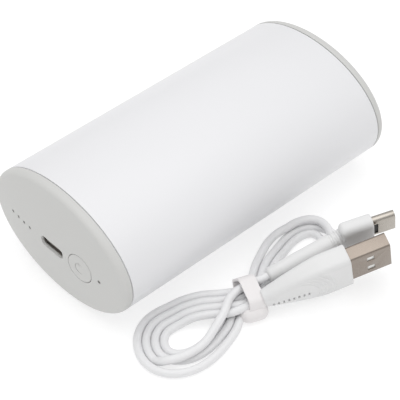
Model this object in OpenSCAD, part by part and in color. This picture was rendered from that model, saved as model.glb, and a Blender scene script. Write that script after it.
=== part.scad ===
// Pocket hand warmer: an oval barrel with a domed cap at each end, and its charging lead.
// X runs across the palm, Y along the barrel with the button end at -Y, Z up from the table.

/* [Body] */
// Width of the warmer across the palm
body_w = 56; // [54:0.5:62]
// Thickness of the warmer, underside to top
body_h = 37; // [36:0.5:42]
// Length of the barrel between its two end seals
barrel_len = 94; // [93:0.5:106]
// Wall of the barrel
barrel_wall = 1.5; // [1.2:0.1:1.6]

/* [Caps] */
// How far a cap stands proud of its seam at the crown
cap_h = 4.8; // [4.4:0.1:6]
// Radius of the rounded rim of a cap
cap_fillet = 2.2; // [1.6:0.1:2.6]
// Radius of the shallow crown of a cap, across the width
crown_r = 165; // [150:5:220]
// Wall of a cap at its crown
cap_wall = 2; // [1.6:0.1:2.4]
// Wall of the spigot that plugs into the barrel
spigot_wall = 1.5; // [1.2:0.1:1.8]
// Depth of the spigot in the barrel
spigot_len = 4; // [3:0.25:5]
// Thickness of the seal ring between a cap and the barrel
seal_t = 0.3; // [0.2:0.05:0.5]
// How far the seal ring is set back from the outside
seal_inset = 0.5; // [0.3:0.1:0.8]

/* [Button end] */
// Radius of the power button
button_r = 4.3; // [3.8:0.1:4.8]
// Groove between the button and the cap
button_gap = 0.3; // [0.25:0.05:0.5]
// Distance of the button from the middle of the cap
button_x = 11.3; // [10.7:0.1:11.8]
// How far the button travels when it is pressed
button_travel = 0.35; // [0.25:0.05:0.5]
// Distance of the status light from the middle of the cap
status_x = 18.6; // [18.2:0.1:19.6]
// Distance of the innermost battery light from the middle of the cap
dots_x = 9.9; // [9.6:0.1:10.4]
// Spacing of the four battery lights
dot_step = 2.75; // [2.2:0.05:2.8]
// Radius of a battery light
dot_r = 0.45; // [0.35:0.05:0.6]
// Width of the charging socket over its shell
usb_w = 8.94; // [8.8:0.02:9.1]
// Height of the charging socket over its shell
usb_h = 3.16; // [3.1:0.02:3.3]
// Depth of the charging socket
usb_len = 7.3; // [6.8:0.1:8]

/* [Inside] */
// Diameter of a battery cell
cell_d = 18.4; // [18:0.1:18.6]
// Length of a battery cell
cell_len = 65.2; // [64:0.1:66]
// Thickness of the circuit board
board_t = 1.2; // [0.8:0.1:1.6]
// Clear width from the side of the warmer to the circuit board
board_in = 5.5; // [5:0.25:7]
// Length of the circuit board
board_len = 21; // [20:0.25:22]
// Thickness of a heater film
film_t = 0.3; // [0.2:0.05:0.4]
// Thickness of a foam pad
foam_t = 1.2; // [1:0.1:1.4]

/* [Charging lead] */
// Diameter of the cord
cord_d = 2.2; // [1.8:0.1:2.4]
// Clear space left between two runs of the cord
cord_gap = 0.55; // [0.5:0.05:0.8]
// Length of the loop that points to the button end
loop_left = 36.2; // [34:0.2:40]
// Length of the loop that points away from it
loop_right = 38.6; // [36:0.2:42]
// Thickness of the band that ties the lead
tie_t = 0.7; // [0.5:0.05:0.9]
// Width of the band that ties the lead
tie_w = 4.6; // [4:0.1:4.8]
// Length of the moulded grip of the large plug
a_grip_len = 23.8; // [22:0.1:28]
// Bare length of the large plug's shell
a_shell_len = 11.7; // [11:0.1:12.5]
// Length of the soft boot of the small plug
c_boot_len = 23.4; // [20:0.2:26]
// Length of the moulded grip of the small plug
c_grip_len = 8.8; // [8:0.2:12]
// Bare length of the small plug's shell
c_shell_len = 6.5; // [6:0.1:6.7]

/* [Hidden] */
$fn = 48;
cut = 1;
half_w = body_w / 2;
half_h = body_h / 2;
board_w = body_w - 2 * board_in;
axis_z = half_h;
barrel_y = barrel_len / 2;
seam_y = barrel_y + seal_t;
fit_gap = 0.1;
seat_gap = 0.05;
arc_steps = 6;

// Height of a cap's crown over its seam at distance x from the middle
function crown_at(x) = cap_h - crown_r + sqrt(pow(crown_r, 2) - pow(x, 2));

// Half a cap's outline: a straight foot, a rounded rim and a shallow crown
function dome_points(w, h, rim, crown, foot) =
    let (
        rim_y = h - crown + sqrt(pow(crown - rim, 2) - pow(w - rim, 2)),
        spread = asin((w - rim) / (crown - rim))
    )
    concat(
        [[0, foot], [w, foot]],
        [for (k = [0:arc_steps]) let (a = (90 - spread) * k / arc_steps)
            [w - rim + rim * cos(a), rim_y + rim * sin(a)]],
        [for (k = [1:arc_steps]) let (a = spread * (1 - k / arc_steps))
            [crown * sin(a), h - crown + crown * cos(a)]]
    );

// Corner points of a rectangle w by h with rounded corners of radius r
function rounded_points(w, h, r) = [
    for (corner = [[1, 1, 0], [-1, 1, 90], [-1, -1, 180], [1, -1, 270]])
        for (k = [0:arc_steps]) let (a = corner[2] + 90 * k / arc_steps)
            [corner[0] * (w / 2 - r) + r * cos(a), corner[1] * (h / 2 - r) + r * sin(a)]
];

// Oval bar along the warmer, with half sizes a and b, from y_low to y_high
module oval_bar(a, b, y_low, y_high) {
    translate([0, y_high, axis_z]) rotate([90, 0, 0])
        linear_extrude(height = y_high - y_low) scale([a, b]) circle(r = 1);
}

// Round bar along Y, its middle line at x and z
module bar_y(x, z, r, y_low, y_high) {
    translate([x, y_high, z]) rotate([90, 0, 0]) cylinder(r = r, h = y_high - y_low);
}

// Rounded block along Y, w wide and h high, its middle line at x and z
module block_y(x, z, w, h, r, y_low, y_high) {
    translate([x, y_high, z]) rotate([90, 0, 0])
        linear_extrude(height = y_high - y_low) polygon(rounded_points(w, h, r));
}

// Plain box between two corners
module box_between(low, high) {
    translate(low) cube(high - low);
}

// Domed oval of a cap: side is -1 at the button end and 1 at the far end
module dome(side, a, b, h, rim, crown, foot) {
    translate([0, side * seam_y, axis_z]) rotate([-90 * side, 0, 0])
        scale([1, b / a, 1]) rotate_extrude($fn = 96) polygon(dome_points(a, h, rim, crown, foot));
}

spigot_a = half_w - barrel_wall - fit_gap;
spigot_b = half_h - barrel_wall - fit_gap;
hollow_a = spigot_a - spigot_wall;
hollow_b = spigot_b - spigot_wall;
hollow_rim = 0.5;

// One cap: the domed face, and the spigot that plugs into the barrel
module cap(side) {
    difference() {
        union() {
            dome(side, half_w, half_h, cap_h, cap_fillet, crown_r, 0);
            if (side < 0) oval_bar(spigot_a, spigot_b, -seam_y - seal_t, spigot_len - seam_y);
            if (side > 0) oval_bar(spigot_a, spigot_b, seam_y - spigot_len, seam_y + seal_t);
        }
        dome(side, hollow_a, hollow_b, cap_h - cap_wall, hollow_rim, crown_r - cap_wall, -spigot_len - cut);
    }
}

module barrel_shell() {
    color("white") difference() {
        oval_bar(half_w, half_h, -barrel_y, barrel_y);
        oval_bar(half_w - barrel_wall, half_h - barrel_wall, -barrel_y - cut, barrel_y + cut);
    }
}

socket_room = 0.14;
socket_depth = 0.75;
dots = [for (k = [0:3]) -dots_x - k * dot_step];
status_r = dot_r + seat_gap;

module front_cap() {
    face_y = -seam_y - cap_h - cut;
    color("gainsboro") difference() {
        cap(-1);
        block_y(0, axis_z, usb_w + 2 * socket_room, usb_h + 2 * socket_room, usb_h / 2 - socket_room,
            face_y, spigot_len - seam_y + cut);
        bar_y(button_x, axis_z, button_r + button_gap, face_y, -seam_y + cut);
        for (x = dots) bar_y(x, axis_z, dot_r + seat_gap, face_y, -seam_y + cut);
        bar_y(status_x, axis_z, status_r + seat_gap, face_y, -seam_y + cut);
    }
}

module rear_cap() {
    color("gainsboro") cap(1);
}

// Flat oval ring that fills the seam between a cap and the barrel
module seal(y_low) {
    color("lightgray") difference() {
        oval_bar(half_w - seal_inset, half_h - seal_inset, y_low, y_low + seal_t);
        oval_bar(spigot_a + seat_gap, spigot_b + seat_gap, y_low - cut, y_low + seal_t + cut);
    }
}

module front_seal() {
    seal(-seam_y);
}

module rear_seal() {
    seal(barrel_y);
}

board_top = axis_z - usb_h / 2;
board_inset = 0.9;
board_y = board_inset - barrel_y;
flange_t = 1;
flange_r = button_r + 1;
flange_y = -seam_y - crown_at(button_x + flange_r) + cap_wall + seal_t;
stem_r = 1.2;
switch_w = 6;
switch_len = 3.5;
plunger_r = 1.2;
plunger_out = 1.15;
plunger_in = 0.8;
switch_y = board_y + plunger_out;

// Button: its top follows the cap's crown, with a flange behind the cap's wall and a stem to the switch
module power_button() {
    stem_y = switch_y - plunger_out - seat_gap;
    color("gainsboro") union() {
        intersection() {
            bar_y(button_x, axis_z, button_r, -seam_y - cap_h - cut, flange_y);
            dome(-1, half_w, half_h, cap_h, cap_fillet, crown_r, 0);
        }
        bar_y(button_x, axis_z, flange_r, flange_y, flange_y + flange_t);
        bar_y(button_x, axis_z, stem_r, flange_y + flange_t, stem_y);
    }
}

module switch_plunger() {
    color("black") bar_y(button_x, axis_z, plunger_r, switch_y - plunger_out, switch_y + plunger_in);
}

module switch_body() {
    color("dimgray") difference() {
        box_between(
            [button_x - switch_w / 2, switch_y, board_top],
            [button_x + switch_w / 2, switch_y + switch_len, board_top + usb_h]
        );
        bar_y(button_x, axis_z, plunger_r + seat_gap, switch_y - cut,
            switch_y + plunger_in + 2 * button_travel);
    }
}

guide_h = 1.8;
guide_in = 0.8;
guide_back = board_y + guide_in;
guide_front = -seam_y - cap_wall / 2;
light_sink = 0.15;

// Clear block that stands on the board's front edge, with a light rod for each x in places
module light_guide(places, r) {
    side = 1.5 * r;
    color("whitesmoke") union() {
        difference() {
            box_between(
                [min(places) - side, guide_front, board_top],
                [max(places) + side, guide_back, axis_z + guide_h / 2]
            );
            box_between(
                [min(places) - side - cut, guide_front - cut, board_top - cut],
                [max(places) + side + cut, board_y - seat_gap, axis_z - guide_h / 2]
            );
        }
        for (x = places) bar_y(x, axis_z, r, -seam_y - crown_at(x) + light_sink, guide_front + seal_t);
    }
}

module battery_light_guide() {
    light_guide(dots, dot_r);
}

module status_light_guide() {
    light_guide([status_x], status_r);
}

led_w = 1.6;
led_len = 1;
led_h = 0.9;

// Side-firing lamp on the board, just behind its light guide
module board_lamp(x) {
    box_between(
        [x - led_w / 2, guide_back + seat_gap, board_top],
        [x + led_w / 2, guide_back + seat_gap + led_len, board_top + led_h]
    );
}

module battery_lights() {
    color("ivory") for (x = dots) board_lamp(x);
}

module status_light() {
    color("ivory") board_lamp(status_x);
}

shell_t = 0.25;
socket_front = -seam_y - cap_h + socket_depth;
tongue_t = 0.7;
tongue_w = 6.7;
base_len = 1.4;

module usb_socket_shell() {
    color("silver") difference() {
        block_y(0, axis_z, usb_w, usb_h, usb_h / 2 - shell_t, socket_front, socket_front + usb_len);
        block_y(0, axis_z, usb_w - 2 * shell_t, usb_h - 2 * shell_t, usb_h / 2 - 2 * shell_t,
            socket_front - cut, socket_front + usb_len + cut);
    }
}

module usb_socket_tongue() {
    room = shell_t + seat_gap;
    base_y = socket_front + usb_len - base_len;
    color("dimgray") union() {
        block_y(0, axis_z, usb_w - 2 * room, usb_h - 2 * room, usb_h / 2 - 2 * room,
            base_y, base_y + base_len);
        block_y(0, axis_z, tongue_w, tongue_t, tongue_t / 4, socket_front + shell_t, base_y + base_len / 2);
    }
}

screw_in = 3;
screw_x = board_w / 2 - 1.2 * screw_in;
screw_ys = [board_y + 2 * screw_in, board_y + board_len - screw_in];
shank_r = 0.85;
head_r = 1.9;
head_h = 1.2;
head_top_r = 1.3;
shank_len = 4;
rail_w = 4.4;

module main_board() {
    color("seagreen") difference() {
        box_between(
            [-board_w / 2, board_y, board_top - board_t],
            [board_w / 2, board_y + board_len, board_top]
        );
        for (x = [-screw_x, screw_x], y = screw_ys)
            translate([x, y, board_top - board_t - cut])
                cylinder(r = shank_r + 2 * fit_gap, h = board_t + 2 * cut);
    }
}

// Pan-head screws through the board into the rails of the lower cradle
module board_screws() {
    color("silver") for (x = [-screw_x, screw_x], y = screw_ys)
        translate([x, y, board_top]) rotate_extrude() polygon([
            [0, -board_t - shank_len], [shank_r, -board_t - shank_len], [shank_r, 0], [head_r, 0],
            [head_r, head_h / 2], [head_top_r, head_h], [0, head_h]
        ]);
}

chip_w = 5;
chip_h = 0.85;
coil_w = 6.6;
coil_h = 3;
cap_w = 1.6;
cap_step = 4;
part_y = board_y + board_len / 2 + 1.5 * chip_h;

module control_chip() {
    color("black") box_between([-chip_w / 2, part_y - chip_w / 2, board_top],
        [chip_w / 2, part_y + chip_w / 2, board_top + chip_h]);
}

module power_inductor() {
    color("dimgray") translate([2 * coil_w - board_w / 2 - coil_w / 3, part_y, board_top])
        linear_extrude(height = coil_h) polygon(rounded_points(coil_w, coil_w, coil_w / 8));
}

module capacitors() {
    first_x = screw_x - rail_w / 2 - 2 * cap_w;
    color("tan") for (column = [0, 1], row = [0, 1])
        translate([first_x - 2 * cap_w * column, part_y - cap_w + cap_step * row, board_top])
            cube([cap_w, 2 * cap_w, cap_w]);
}

bead_r = 1.1;

module thermistor() {
    color("saddlebrown") translate([chip_w, part_y + chip_w + 2 * bead_r, board_top])
        cylinder(r1 = bead_r, r2 = bead_r / 2, h = 2 * bead_r);
}

film_a = half_w - barrel_wall - seat_gap;
film_b = half_h - barrel_wall - seat_gap;
foam_a = film_a - film_t - seat_gap;
foam_b = film_b - film_t - seat_gap;
cradle_a = foam_a - foam_t - fit_gap;
cradle_b = foam_b - foam_t - fit_gap;
cell_r = cell_d / 2;
cell_x = cell_r + 5 * fit_gap;
cell_y1 = seam_y - spigot_len + 4 * fit_gap;
cell_y0 = cell_y1 - cell_len;
link_t = 0.3;
film_w = 40;
foam_w = 38;
film_y = barrel_y - 2 * spigot_len;

// Thin sheet t thick that lies on the inside of the oval, above (side 1) or below the middle
module lining(side, a, b, t, w, y_low, y_high) {
    intersection() {
        difference() {
            oval_bar(a, b, y_low, y_high);
            oval_bar(a - t, b - t, y_low - cut, y_high + cut);
        }
        translate([-w / 2, y_low - cut, side > 0 ? axis_z : 0])
            cube([w, y_high - y_low + 2 * cut, axis_z]);
    }
}

module heater_film_upper() {
    color("darkorange") lining(1, film_a, film_b, film_t, film_w, -film_y, film_y);
}

module heater_film_lower() {
    color("darkorange") lining(-1, film_a, film_b, film_t, film_w, -film_y, film_y);
}

module foam_pad_upper() {
    color("dimgray") lining(1, foam_a, foam_b, foam_t, foam_w, cell_y0, film_y);
}

module foam_pad_lower() {
    color("dimgray") lining(-1, foam_a, foam_b, foam_t, foam_w, cell_y0, film_y);
}

split = 2;
cell_room = 0.15;
end_wall = 2.4;
wire_r = 0.75;
wire_z = axis_z + cell_r / 2;
cradle_y1 = seam_y - spigot_len - seal_t;
fuse_r = 1.3;
fuse_len = 9;
fuse_y = 0;
fuse_z = axis_z + cradle_b - fuse_r - fit_gap;

// Grooves of the two cells, from the end wall out past the far end
module cell_grooves() {
    for (x = [-cell_x, cell_x])
        bar_y(x, axis_z, cell_r + cell_room, cell_y0 - link_t - seat_gap, cell_y1 + end_wall);
}

module cradle_upper() {
    channel_w = 6 * wire_r;
    color("lightyellow") difference() {
        oval_bar(cradle_a, cradle_b, cell_y0 - link_t, cradle_y1);
        translate([-half_w, -barrel_y, 0]) cube([body_w, barrel_len, axis_z + split]);
        cell_grooves();
        translate([-channel_w / 2, -barrel_y, axis_z])
            cube([channel_w, barrel_len, wire_z - axis_z + wire_r + fit_gap]);
        translate([-fuse_r - fit_gap, fuse_y - fit_gap, fuse_z - fuse_r - fit_gap])
            cube([2 * (fuse_r + fit_gap), fuse_len + 2 * fit_gap, 4 * fuse_r]);
    }
}

module cradle_lower() {
    wall_y = cell_y0 - link_t - end_wall;
    rail_y = spigot_len - seam_y + seal_t;
    rail_top = board_top - board_t;
    color("lightyellow") difference() {
        union() {
            intersection() {
                oval_bar(cradle_a, cradle_b, wall_y, cradle_y1);
                translate([-half_w, -barrel_y, 0]) cube([body_w, barrel_len, axis_z - split - board_t]);
            }
            intersection() {
                oval_bar(cradle_a, cradle_b, rail_y, wall_y + cut);
                for (x = [-screw_x, screw_x]) translate([x - rail_w / 2, -barrel_y, 0])
                    cube([rail_w, barrel_len, rail_top]);
            }
        }
        cell_grooves();
        for (x = [-screw_x, screw_x], y = screw_ys)
            translate([x, y, rail_top - shank_len - 2 * fit_gap])
                cylinder(r = shank_r + seat_gap, h = shank_len + cut);
    }
}

nub_r = 2.8;
cell_edge = 0.6;

// One battery cell: a wrapped can with a rolled edge and a raised contact
module cell(x) {
    color("royalblue") translate([x, cell_y0, axis_z]) rotate([-90, 0, 0]) rotate_extrude() polygon([
        [0, 0], [nub_r, 0], [nub_r, cell_edge], [cell_r - cell_edge, cell_edge], [cell_r, 2 * cell_edge],
        [cell_r, cell_len - cell_edge], [cell_r - cell_edge, cell_len], [0, cell_len]
    ]);
}

module cell_left() {
    cell(-cell_x);
}

module cell_right() {
    cell(cell_x);
}

link_w = 2 * cell_x + 2 * nub_r;
link_h = 2 * nub_r;

// Nickel strip that joins both cells at one end
module cell_link(y_low) {
    color("silver") difference() {
        box_between(
            [-link_w / 2, y_low, axis_z - link_h / 2],
            [link_w / 2, y_low + link_t, axis_z + link_h / 2]
        );
        box_between([-cell_edge, y_low - cut, axis_z], [cell_edge, y_low + link_t + cut, axis_z + link_h]);
    }
}

module cell_link_front() {
    cell_link(cell_y0 - link_t);
}

module cell_link_rear() {
    cell_link(cell_y1);
}

elbow = 2.2;

// A wire that runs forward from y_end at height z, bends, and drops to the board
module board_wire(x, z, y_end) {
    foot_y = board_y + board_len - 2 * elbow;
    bar_y(x, z, wire_r, foot_y + elbow, y_end);
    translate([x, foot_y + elbow, z - elbow]) rotate([0, 90, 0]) rotate([0, 0, 180])
        rotate_extrude(angle = 90) translate([elbow, 0]) circle(r = wire_r);
    translate([x, foot_y, board_top]) cylinder(r = wire_r, h = z - elbow - board_top);
}

module battery_wires() {
    red_z = axis_z + nub_r / 2;
    color("firebrick") union() board_wire(-cell_x, red_z, cell_y0 - link_t);
    color("black") union() board_wire(0, wire_z, cell_y1);
}

heater_wire_r = 0.5;
heater_wire_x = cell_x / 2;

// Four short wires, two to each heater film
module heater_wires() {
    reach = sqrt(1 - pow(heater_wire_x / (film_a - film_t), 2)) * (film_b - film_t) - heater_wire_r / 2;
    wire_y = heater_wire_r - film_y;
    color("white") for (x = [-heater_wire_x, heater_wire_x]) {
        translate([x, wire_y, board_top]) cylinder(r = heater_wire_r, h = axis_z + reach - board_top);
        translate([x, wire_y, axis_z - reach])
            cylinder(r = heater_wire_r, h = board_top - board_t - axis_z + reach);
    }
}

module thermal_fuse() {
    color("silver") bar_y(0, fuse_z, fuse_r, fuse_y, fuse_y + fuse_len);
}

pad_w = 30;
pad_h = 14;

module end_pad() {
    pad_y = cell_y1 + link_t;
    color("dimgray") box_between(
        [-pad_w / 2, pad_y, axis_z - pad_h / 2],
        [pad_w / 2, seam_y + crown_at(pad_w / 2) - cap_wall - 2 * seal_t, axis_z + pad_h / 2]
    );
}

// The lead: its tied middle, and how far the loops swell, lean and step
waist = [39.4, -16.55];
swell_left = 20;
swell_right = 16.5;
belly_left_share = 0.15;
belly_right_share = 0.3;
lean_left = 3;
lean_right = 5.2;
pinch_share = 0.16;
waist_lift = tie_t + 2 * fit_gap;
pitch = cord_d + cord_gap;
slots = 1.5;
rings = 24;
sides = 6;
near_shares = [1.5, 0, 0, 1, 1, 2, 2];
far_shares = [1, 1, 0, 0.6, 2, 2, 3];

function smooth(a, b, x) = let (k = min(max((x - a) / (b - a), 0), 1)) k * k * (3 - 2 * k);
function pinch(s) = sqrt(s * s + pinch_share * pinch_share) - pinch_share;
function is_left(j) = j % 2 == 0;

// Middle line of a loop's outermost run at angle t: across the waist, then along the loop
function loop_point(j, t) =
    let (
        c = cos(t), s = sin(t),
        swell = is_left(j) ? swell_left : swell_right,
        belly = is_left(j) ? belly_left_share : belly_right_share,
        lean = is_left(j) ? lean_left : lean_right,
        reach = is_left(j) ? loop_left : loop_right
    )
    [c * (slots * pitch + swell * pinch(s) * (1 + belly * (1 - s * s))) - lean * s * s, reach * s];

// Which run in from the outermost one half turn j is at angle t
function run_in(j, t) =
    j == 0 ? near_shares[0] + 0.8 * smooth(8, 34, t) - 1.3 * smooth(52, 76, t) :
    j == 3 ? near_shares[3] - 0.4 * smooth(70, 104, t) - 0.6 * smooth(132, 150, t) :
    near_shares[j] + (far_shares[j] - near_shares[j])
        * (is_left(j) ? smooth(10, 80, t) : smooth(72, 108, t));

// How many runs high half turn j lies at angle t
function layer(j, t) =
    j == 0 ? 2 - smooth(16, 36, t) - smooth(68, 92, t) + smooth(146, 166, t) :
    j == 3 ? smooth(44, 68, t) : smooth(146, 166, t);

function coil_point(j, t) =
    let (
        p = loop_point(j, t),
        ahead = loop_point(j, t + 0.5) - loop_point(j, t - 0.5),
        inward = [-ahead[1], ahead[0]] / norm(ahead),
        q = p + run_in(j, t) * pitch * inward,
        lift = waist_lift * (1 - smooth(5, 17, min(t, 180 - t)))
    )
    [waist[0] + q[0], waist[1] + (is_left(j) ? -q[1] : q[1]), cord_d / 2 + lift + pitch * layer(j, t)];

// Where the cord meets the two plugs, and how the plugs lie
a_tail = [44.85, -13.67, 6.44];
a_yaw = 24.9;
a_pitch = 13.2;
plug_lean = 14.5;
c_tail = [40.5, -9.55, 8.4];
c_boot_yaw = 17.8;
c_boot_pitch = 14.2;
c_yaw = 27;
c_pitch = 10.5;
function heading(yaw, rise) = [sin(yaw) * cos(rise), cos(yaw) * cos(rise), sin(rise)];

last_t = 174;
coil = [for (j = [0:6]) for (k = [(j == 0 ? 0 : 1):rings]) let (t = k / rings * (j == 6 ? last_t : 180))
    coil_point(j, is_left(j) ? t : 180 - t)];
route = concat(
    [c_tail, c_tail - cord_d * heading(c_boot_yaw, c_boot_pitch)],
    coil,
    [a_tail - cord_d * heading(a_yaw, a_pitch), a_tail]
);
last = len(route) - 1;

// Least gap between runs, measured on the route's points and the middles between them
fine = [for (k = [0:2 * last]) k % 2 == 0 ? route[k / 2] : (route[(k - 1) / 2] + route[(k + 1) / 2]) / 2];
skip = 14;
least_gap = min([
    for (a = [0:len(fine) - skip - 1]) min([for (b = [a + skip:len(fine) - 1]) norm(fine[a] - fine[b])])
]) - cord_d;
cord_len = [for (k = [0:last - 1]) norm(route[k + 1] - route[k])] * [for (k = [0:last - 1]) 1];
echo(least_gap_mm = least_gap, cord_length_mm = cord_len);

// Tube of radius r along points, closed at both ends
module tube_along(points, r) {
    n = len(points) - 1;
    ring = [for (k = [0:n])
        let (
            d = points[min(k + 1, n)] - points[max(k - 1, 0)],
            ahead = d / norm(d),
            across = cross(ahead, [0, 0, 1]) / norm(cross(ahead, [0, 0, 1])),
            rise = cross(across, ahead)
        )
        for (m = [0:sides - 1]) let (a = 360 * m / sides)
            points[k] + r * (cos(a) * across + sin(a) * rise)];
    skin = [for (k = [0:n - 1]) for (m = [0:sides - 1])
        let (a = k * sides + m, b = k * sides + (m + 1) % sides)
            each [[a, b, b + sides], [a, b + sides, a + sides]]];
    ends = [for (m = [1:sides - 2]) let (top = n * sides) each [[0, m + 1, m], [top, top + m, top + m + 1]]];
    polyhedron(points = ring, faces = concat(skin, ends));
}

module lead_cord() {
    color("white") tube_along(route, cord_d / 2);
}

tie_room = 0.2;
tie_back = 0.75;
tie_side = 0.8;
tie_in_w = 2 * slots * pitch + cord_d + 2 * tie_side;
tie_in_h = waist_lift - tie_t + 2 * pitch + cord_d + tie_room;
tie_r = 1;
knob_r = 1.7;

// Flat band round the tied middle, with its rounded end at the side
module cable_tie() {
    y_low = waist[1] - tie_w / 2 - tie_back;
    color("white") union() {
        difference() {
            block_y(waist[0], tie_t + tie_in_h / 2, tie_in_w + 2 * tie_t, tie_in_h + 2 * tie_t,
                tie_r + tie_t, y_low, y_low + tie_w);
            block_y(waist[0], tie_t + tie_in_h / 2, tie_in_w, tie_in_h, tie_r,
                y_low - cut, y_low + tie_w + cut);
        }
        bar_y(waist[0] + tie_in_w / 2 + tie_t / 2 + knob_r, knob_r, knob_r, y_low, y_low + tie_w);
    }
}

// Places a plug: its own X is its thickness, Y runs to its tip and Z is its width
module plug_at(tail, yaw, rise, lean) {
    translate(tail) rotate([0, 0, -yaw]) rotate([rise, 0, 0]) rotate([0, lean, 0]) children();
}

// Solid skin over rounded sections, each [y, thickness, width, corner]
module skin_over(sections) {
    per = 4 * (arc_steps + 1);
    last_ring = len(sections) - 1;
    points = [for (s = sections) for (p = rounded_points(s[1], s[2], s[3])) [p[0], s[0], p[1]]];
    walls = [for (k = [0:last_ring - 1]) for (m = [0:per - 1])
        let (a = k * per + m, b = k * per + (m + 1) % per)
            each [[a, b, b + per], [a, b + per, a + per]]];
    lids = [for (m = [1:per - 2]) let (top = last_ring * per)
        each [[0, m + 1, m], [top, top + m, top + m + 1]]];
    polyhedron(points = points, faces = concat(walls, lids));
}

a_tail_t = 4.2;
a_tail_w = 5.2;
a_grip_t = 6.6;
a_grip_w = 15;
a_taper_share = 0.66;
a_tail_r = 2;
a_end_r = 1.4;
a_slots = 7;
a_slot = [0.8, 0.8, 2.2];
a_slot_step = 1.7;
a_arcs = 3;
a_arc_r = 7.6;
a_arc_step = 1.8;
a_groove_r = 0.32;
a_arc_low = -48;
a_arc_high = 52;
a_shell_t = 4.5;
a_shell_w = 12;
a_sheet = 0.35;
a_shell_r = 0.7;
a_window = [2.1, 2.3];
a_window_z = 2.6;
a_window_y = 5.8;

// Moulded grip of the large plug: a boot that widens into a flat housing
module usb_a_grip() {
    taper = a_grip_len * a_taper_share;
    sections = concat(
        [for (k = [0:6]) let (s = k / 6)
            [taper * s, a_tail_t + (a_grip_t - a_tail_t) * s,
                a_tail_w + (a_grip_w - a_tail_w) * s * (3 - s) / 2, a_tail_r + (a_end_r - a_tail_r) * s]],
        [[a_grip_len - a_sheet, a_grip_t, a_grip_w, a_end_r],
            [a_grip_len, a_grip_t - a_sheet, a_grip_w - a_sheet, a_end_r]]
    );
    color("white") plug_at(a_tail, a_yaw, a_pitch, plug_lean) difference() {
        skin_over(sections);
        for (side = [-1, 1]) {
            for (k = [1:a_slots]) let (s = k * a_slot_step / taper, t = a_tail_t + (a_grip_t - a_tail_t) * s)
                translate([side * t / 2, taper * s, -a_tail_w / 3 * (1 - s)]) cube(a_slot, center = true);
            for (k = [0:a_arcs - 1])
                translate([side * a_grip_t / 2, taper - a_arc_r - a_arc_step / 2, -a_grip_w / 8])
                    rotate([0, 90, 0]) rotate([0, 0, 90 + a_arc_low])
                        rotate_extrude(angle = a_arc_high - a_arc_low)
                            translate([a_arc_r + k * a_arc_step, 0]) circle(r = a_groove_r, $fn = 16);
        }
        translate([-a_shell_t / 2 - seat_gap, a_grip_len - a_shell_t, -a_shell_w / 2 - seat_gap])
            cube([a_shell_t + 2 * seat_gap, a_shell_t + cut, a_shell_w + 2 * seat_gap]);
    }
}

// Turns a block so that it runs along the plug's own Y
module plug_bar(t, w, r, y_low, y_high) {
    translate([0, y_high, 0]) rotate([90, 0, 0])
        linear_extrude(height = y_high - y_low) polygon(rounded_points(t, w, r));
}

module usb_a_shell() {
    root_y = a_grip_len - a_shell_t + seat_gap;
    tip_y = a_grip_len + a_shell_len;
    color("tan") plug_at(a_tail, a_yaw, a_pitch, plug_lean) difference() {
        plug_bar(a_shell_t, a_shell_w, a_shell_r, root_y, tip_y);
        plug_bar(a_shell_t - 2 * a_sheet, a_shell_w - 2 * a_sheet, a_shell_r - a_sheet / 2,
            root_y + a_sheet, tip_y + cut);
        for (z = [-a_window_z, a_window_z])
            translate([0, a_grip_len + a_window_y, z])
                cube([a_shell_t + cut, a_window[0], a_window[1]], center = true);
    }
}

a_block_t = 1.84;

module usb_a_insulator() {
    x_face = a_shell_t / 2 - a_sheet - seat_gap;
    root_y = a_grip_len - a_shell_t + 2 * seat_gap + a_sheet;
    half = a_shell_w / 2 - a_sheet - a_shell_r;
    color("white") plug_at(a_tail, a_yaw, a_pitch, plug_lean)
        box_between([x_face - a_block_t, root_y, -half], [x_face, a_grip_len + a_shell_len - a_sheet, half]);
}

contact_t = 0.15;
contact_w = 1;
contact_step_share = 0.19;

module usb_a_contacts() {
    x_high = a_shell_t / 2 - a_sheet - seat_gap - a_block_t;
    tip_y = a_grip_len + a_shell_len - 2 * a_sheet;
    color("gold") plug_at(a_tail, a_yaw, a_pitch, plug_lean)
        for (k = [-1.5, -0.5, 0.5, 1.5]) let (z = k * contact_step_share * a_shell_w)
            box_between(
                [x_high - contact_t, tip_y - 6 * contact_w, z - contact_w / 2],
                [x_high, tip_y - contact_w, z + contact_w / 2]
            );
}

c_tail_r = 1.85;
c_boot_r = 2.3;
c_neck_r = 1.9;
c_grip_t = 4.6;
c_grip_w = 10;
c_shell_t = 2.4;
c_shell_w = 8.25;
c_sheet = 0.3;
c_window = [1.4, 5.2];
c_start = c_tail + c_boot_len * heading(c_boot_yaw, c_boot_pitch);

// Moulded grip of the small plug: a tapered boot, a grooved neck and a flat housing
module usb_c_grip() {
    groove = c_neck_r / 3;
    color("white") union() {
        plug_at(c_tail, c_boot_yaw, c_boot_pitch, 0) rotate([-90, 0, 0]) rotate_extrude() polygon(concat(
            [[0, 0], [c_tail_r, 0], [c_boot_r, c_boot_len - 6 * groove]],
            [for (k = [0:2]) let (y = c_boot_len - (6 - 2 * k) * groove)
                each [[c_neck_r, y + groove], [c_boot_r, y + 2 * groove]]],
            [[0, c_boot_len]]
        ));
        plug_at(c_start, c_yaw, c_pitch, plug_lean) difference() {
            plug_bar(c_grip_t, c_grip_w, c_grip_t / 2 - c_sheet, -groove, c_grip_len);
            plug_bar(c_shell_t + 2 * seat_gap, c_shell_w + 2 * seat_gap, c_shell_t / 2 - seat_gap,
                c_grip_len - c_shell_t, c_grip_len + cut);
        }
    }
}

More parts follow.
